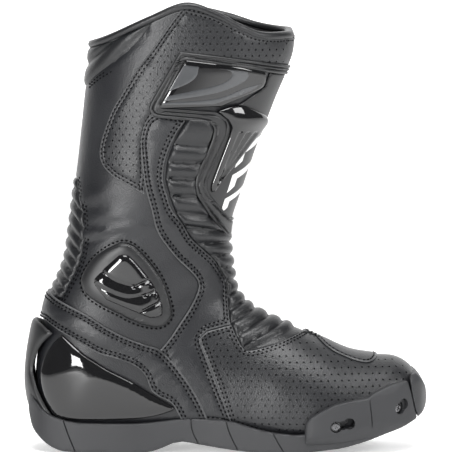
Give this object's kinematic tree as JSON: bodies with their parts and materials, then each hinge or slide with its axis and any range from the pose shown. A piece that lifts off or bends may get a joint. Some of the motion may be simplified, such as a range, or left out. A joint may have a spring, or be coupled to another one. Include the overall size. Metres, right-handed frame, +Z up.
{
  "type": "motorcycle riding boot",
  "caption": "Right riding boot with ribbed instep and ankle bellows, hard shin, ankle and heel guards, toe slider, side zip and flap.",
  "frame": {"origin": "on the ground under the middle of the boot's length and width", "axes": "+X to the toe, +Y to the inner side of the foot, +Z up"},
  "size_m": [0.3113, 0.1176, 0.3423],
  "materials": {
    "smooth_leather": "semi-gloss black cowhide-look microfibre with fine grain",
    "perforated_leather": "smooth black microfibre punched with rows of small round holes",
    "ribbed_stretch": "black leather sewn in padded ribs over elastic",
    "gloss_guard": "high-gloss black injected polyurethane",
    "matte_guard": "satin dark grey injected polyurethane",
    "sole_rubber": "matte dark grey rubber compound",
    "slider_rubber": "matte dark grey hard polyurethane",
    "lining_mesh": "black three-dimensional mesh lining",
    "foam": "grey laminated foam padding",
    "fibre_board": "tan cellulose fibre board",
    "stiffener": "thermoformed stiffener sheet",
    "shank_steel": "stamped spring steel",
    "screw_steel": "bright zinc-plated steel",
    "zip_tape": "black woven zip tape",
    "zip_metal": "blackened zinc alloy",
    "hook_and_loop": "black hook and loop fastener"
  },
  "bodies": {
    "foot": {"outsole": "sole_rubber", "toe_slider": "slider_rubber", "toe_bumper": "slider_rubber", "slider_screw_rear": "screw_steel", "slider_screw_front": "screw_steel", "screw_insert_rear": "screw_steel", "screw_insert_front": "screw_steel", "insole_board": "fibre_board", "shank": "shank_steel", "insole_foam": "foam", "foot_lining": "lining_mesh", "footbed": "foam", "vamp": "perforated_leather", "quarter_outer": "smooth_leather", "quarter_inner": "smooth_leather", "toe_puff": "stiffener", "heel_counter": "stiffener", "heel_strap": "smooth_leather", "heel_cup_outer": "gloss_guard", "heel_cup_inner": "gloss_guard", "heel_spine": "matte_guard", "shift_pad": "matte_guard", "instep_bellows": "ribbed_stretch", "achilles_bellows": "ribbed_stretch", "ankle_panel_outer": "smooth_leather", "ankle_panel_inner": "smooth_leather", "ankle_lining": "lining_mesh", "ankle_guard_outer": "matte_guard", "ankle_guard_inner": "matte_guard", "ankle_cap_outer": "gloss_guard", "ankle_cap_inner": "gloss_guard"},
    "shaft": {"zip_tape_front": "zip_tape", "zip_tape_rear": "zip_tape", "zip_teeth": "zip_metal", "zip_stop": "zip_metal", "zip_gusset": "ribbed_stretch", "calf_gusset": "ribbed_stretch", "shin_plate": "matte_guard", "calf_panel": "perforated_leather", "side_panel": "smooth_leather", "shin_flex_panel": "ribbed_stretch", "rear_panel": "smooth_leather", "inner_panel_front": "smooth_leather", "inner_panel_rear": "smooth_leather", "shaft_padding": "foam", "shaft_lining": "lining_mesh", "collar_binding": "smooth_leather", "shin_insert": "gloss_guard", "shin_vent": "gloss_guard", "shin_frame": "slider_rubber", "loop_patch": "hook_and_loop"},
    "zip_slider": {"zip_slider": "zip_metal"},
    "zip_pull": {"zip_pull": "zip_metal"},
    "flap": {"hook_patch": "hook_and_loop", "closure_flap": "smooth_leather"}
  },
  "joints": [
    {"name": "ankle_flex", "type": "hinge", "parent": "foot", "child": "shaft", "pos_m": [-0.07, 0, 0.118], "axis": [0, 1, 0], "range_deg": [-12, 20], "stiffness_Nm_per_rad": 20, "deforming": ["instep_bellows", "achilles_bellows", "ankle_panel_outer", "ankle_panel_inner", "ankle_lining"]},
    {"name": "zip_travel", "type": "slide", "parent": "shaft", "child": "zip_slider", "axis": [0.1138, -0.0864, -0.9897], "range_m": [0, 0.074]},
    {"name": "zip_pull_swing", "type": "hinge", "parent": "zip_slider", "child": "zip_pull", "pos_m": [-0.05149, 0.05796, 0.26359], "axis": [0.9935, 0, 0.1142], "range_deg": [0, 120]},
    {"name": "flap_swing", "type": "hinge", "parent": "shaft", "child": "flap", "pos_m": [-0.068, 0.0521, 0.296], "axis": [0, -0.0393, 0.9992], "range_deg": [0, 110]}
  ]
}
